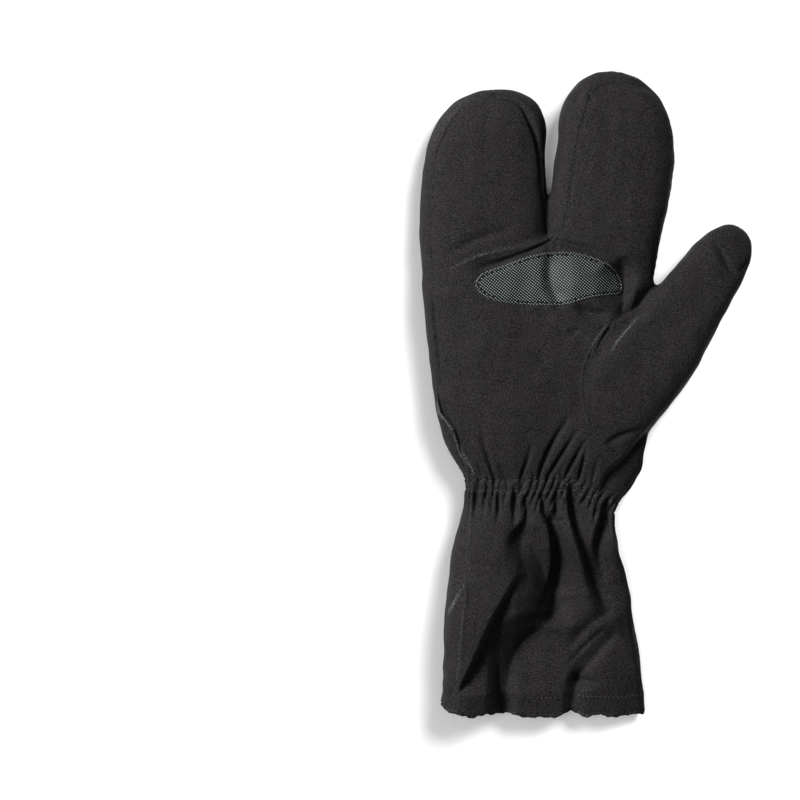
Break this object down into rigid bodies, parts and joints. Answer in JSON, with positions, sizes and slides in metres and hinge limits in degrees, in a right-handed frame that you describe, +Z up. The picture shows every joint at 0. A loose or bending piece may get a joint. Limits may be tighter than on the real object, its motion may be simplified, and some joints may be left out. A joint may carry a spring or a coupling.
{
  "type": "overmitt",
  "caption": "Overmitt lying palm up: a dark woven shell with paired finger lobes and a thumb, a mesh grip patch, a gathered elastic wrist and a long loose cuff with a gathered hem.",
  "frame": {"origin": "middle of the footprint, on the surface that the mitt lies on", "axes": "+Y from the hem to the fingertips, +X towards the thumb, +Z up out of the palm"},
  "size_m": [0.1784, 0.35, 0.0324],
  "materials": {
    "shell_cloth": "dark charcoal woven shell cloth, tight plain weave, matt with a faint sheen at the folds",
    "grip_mesh": "coarse green-grey mesh weave, slightly rubbery",
    "elastic_tape": "black knitted elastic tape, matt",
    "thread": "dark sewing thread, slight sheen"
  },
  "bodies": {
    "root": {"palm_panel": "shell_cloth", "back_panel": "shell_cloth", "fourchette": "shell_cloth", "thumb": "shell_cloth", "grip_patch": "grip_mesh", "cuff_palm": "shell_cloth", "cuff_back": "shell_cloth", "wrist_elastic": "elastic_tape", "hem_casing": "shell_cloth"}
  },
  "joints": []
}
